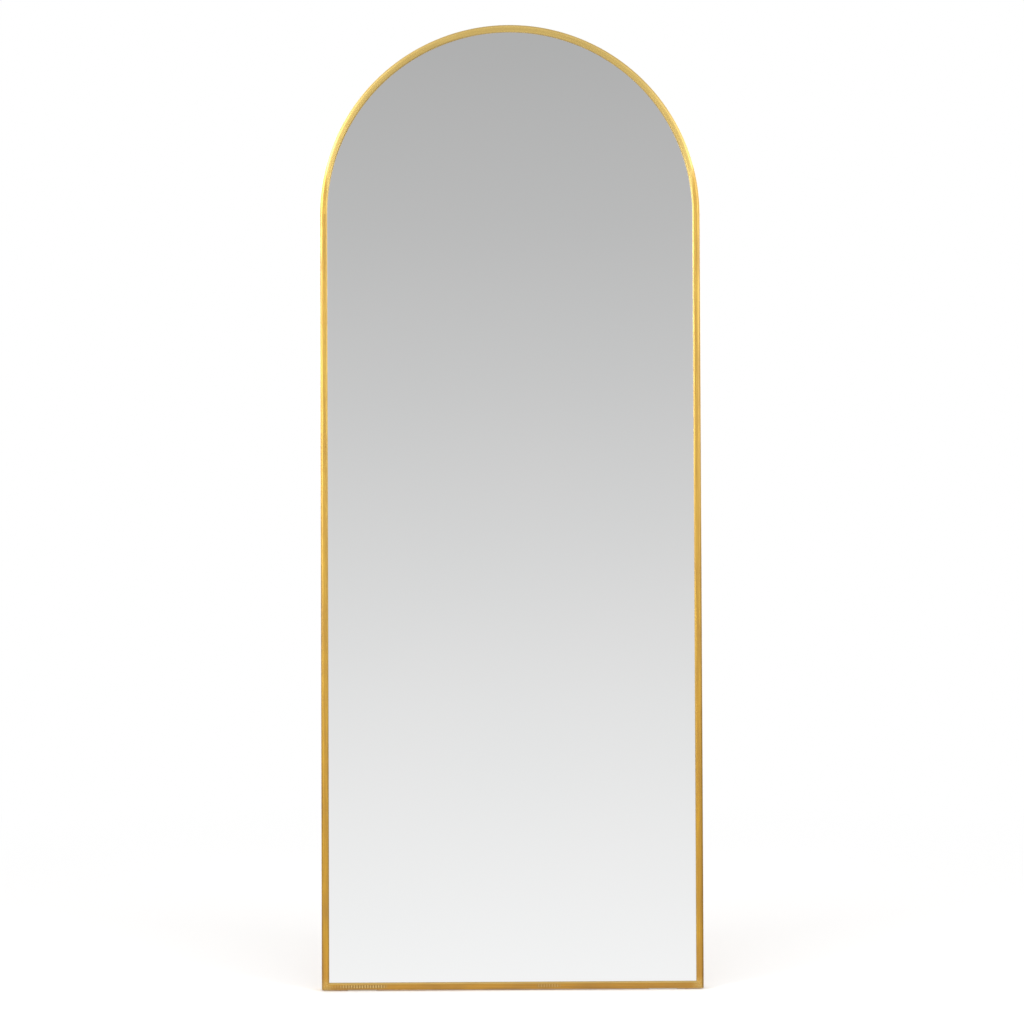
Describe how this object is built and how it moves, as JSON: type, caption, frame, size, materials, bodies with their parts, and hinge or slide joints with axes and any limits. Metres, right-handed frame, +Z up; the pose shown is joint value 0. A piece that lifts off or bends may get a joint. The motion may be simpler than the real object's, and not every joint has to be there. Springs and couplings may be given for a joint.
{
  "type": "leaning floor mirror",
  "caption": "Full-length arched floor mirror in a slim brushed brass frame, with a clipped-in back and hanging rings behind.",
  "frame": {"origin": "on the floor under the middle of the mirror: middle of the width and of the whole depth", "axes": "+Z up the mirror, +X to the right seen from the front, +Y from the glass towards the wall"},
  "size_m": [0.762, 0.0344, 1.9311],
  "materials": {
    "brass_frame": "brushed antique brass plating on steel tube",
    "foam_tape": "black foam tape",
    "silvered_glass": "silvered float glass with seamed edges and a grey painted back",
    "fibreboard": "raw medium density fibreboard",
    "plastic_block": "black moulded plastic",
    "zinc_clip": "bright zinc plated steel strip",
    "zinc_screw": "bright zinc plated pan head screw",
    "nickel_hanger": "nickel plated steel",
    "bumper_rubber": "black moulded rubber",
    "pad_felt": "dark grey felt"
  },
  "bodies": {
    "mirror": {"frame_arch": "brass_frame", "stile_left": "brass_frame", "stile_right": "brass_frame", "bottom_rail": "brass_frame", "lip_tape": "foam_tape", "bond_tape": "foam_tape", "mirror_pane": "silvered_glass", "backing_board": "fibreboard", "setting_blocks": "plastic_block", "clips_left": "zinc_clip", "clips_right": "zinc_clip", "clips_arch": "zinc_clip", "clips_bottom": "zinc_clip", "clip_screws_left": "zinc_screw", "clip_screws_right": "zinc_screw", "clip_screws_arch": "zinc_screw", "clip_screws_bottom": "zinc_screw", "hanger_screws_left": "zinc_screw", "hanger_screws_right": "zinc_screw", "hanger_plate_left": "nickel_hanger", "hanger_plate_right": "nickel_hanger", "bumpers_upper": "bumper_rubber", "bumpers_lower": "bumper_rubber", "floor_pads": "pad_felt"},
    "ring_left": {"hanger_ring_left": "nickel_hanger"},
    "ring_right": {"hanger_ring_right": "nickel_hanger"}
  },
  "joints": [
    {"name": "ring_swing_left", "type": "hinge", "parent": "mirror", "child": "ring_left", "pos_m": [-0.29, 0.0043, 1.4812], "axis": [1, 0, 0], "range_deg": [0, 180]},
    {"name": "ring_swing_right", "type": "hinge", "parent": "mirror", "child": "ring_right", "pos_m": [0.29, 0.0043, 1.4812], "axis": [1, 0, 0], "range_deg": [0, 180]}
  ]
}
